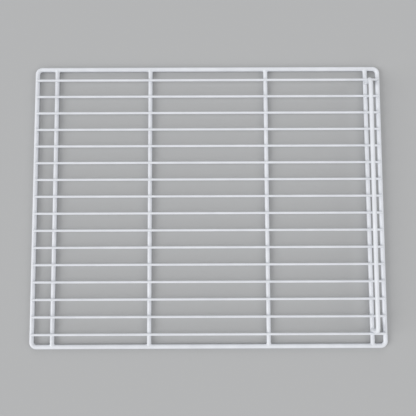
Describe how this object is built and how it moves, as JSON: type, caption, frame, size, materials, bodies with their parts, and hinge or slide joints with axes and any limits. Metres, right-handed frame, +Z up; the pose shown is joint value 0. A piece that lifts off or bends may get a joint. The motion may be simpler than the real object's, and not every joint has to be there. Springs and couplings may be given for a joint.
{
  "type": "refrigerator shelf",
  "caption": "White coated wire refrigerator shelf: thin deck wires on a rounded heavy wire frame with crossbars, and a raised stop along the rear.",
  "frame": {"origin": "under the middle of the shelf, on the plane that the frame rests on", "axes": "+X to the shelf's right seen from the front, +Y to the rear where the stop is, +Z up"},
  "size_m": [0.419, 0.521, 0.0319],
  "materials": {
    "white_coat": "satin white polymer coat over steel wire"
  },
  "bodies": {
    "root": {"frame": "white_coat", "front_crossbar": "white_coat", "front_middle_crossbar": "white_coat", "rear_middle_crossbar": "white_coat", "rear_crossbar": "white_coat", "deck_wire_01": "white_coat", "deck_wire_02": "white_coat", "deck_wire_03": "white_coat", "deck_wire_04": "white_coat", "deck_wire_05": "white_coat", "deck_wire_06": "white_coat", "deck_wire_07": "white_coat", "deck_wire_08": "white_coat", "deck_wire_09": "white_coat", "deck_wire_10": "white_coat", "deck_wire_11": "white_coat", "deck_wire_12": "white_coat", "deck_wire_13": "white_coat", "deck_wire_14": "white_coat", "deck_wire_15": "white_coat", "deck_wire_16": "white_coat", "rear_stop": "white_coat"}
  },
  "joints": []
}
